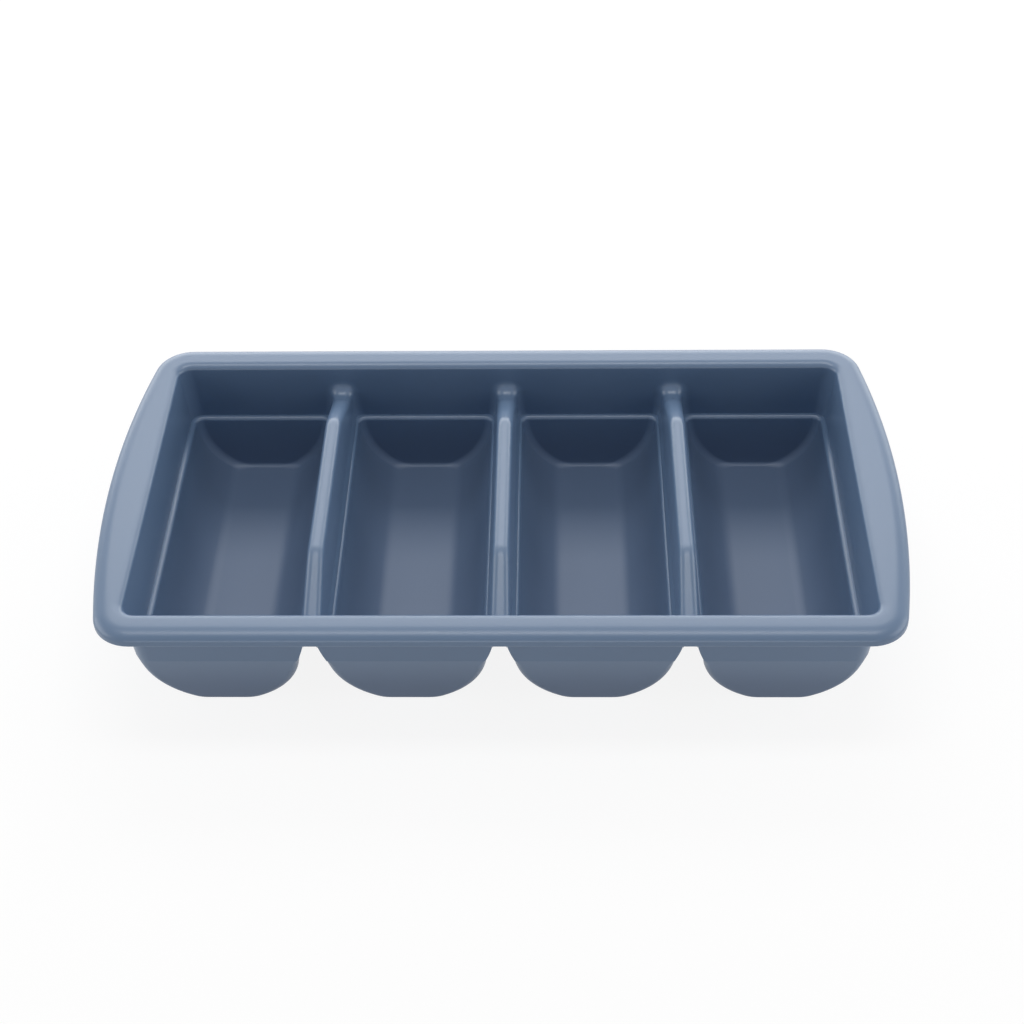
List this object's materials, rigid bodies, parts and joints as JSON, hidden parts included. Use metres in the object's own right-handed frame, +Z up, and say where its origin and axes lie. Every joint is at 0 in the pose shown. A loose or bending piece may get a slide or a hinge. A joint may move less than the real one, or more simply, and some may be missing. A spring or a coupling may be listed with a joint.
{
  "type": "cutlery box",
  "caption": "Shallow plastic cutlery box with half-round troughs side by side, hollow dividers with ramped ends and bowed end grips.",
  "frame": {"origin": "centre of the box on the plane of the trough feet, where it stands on a table", "axes": "+X along the box's length, from the left grip to the right one; +Y from the front to the back; +Z up"},
  "size_m": [0.52, 0.29, 0.086],
  "materials": {
    "plastic": "satin"
  },
  "bodies": {
    "root": {"rim_front": "plastic", "rim_back": "plastic", "grip_left": "plastic", "grip_right": "plastic", "wall_front": "plastic", "wall_back": "plastic", "wall_left": "plastic", "wall_right": "plastic", "divider_1": "plastic", "divider_2": "plastic", "divider_3": "plastic", "trough_1": "plastic", "trough_2": "plastic", "trough_3": "plastic", "trough_4": "plastic", "front_end_1": "plastic", "front_end_2": "plastic", "front_end_3": "plastic", "front_end_4": "plastic", "back_end_1": "plastic", "back_end_2": "plastic", "back_end_3": "plastic", "back_end_4": "plastic"}
  },
  "joints": []
}
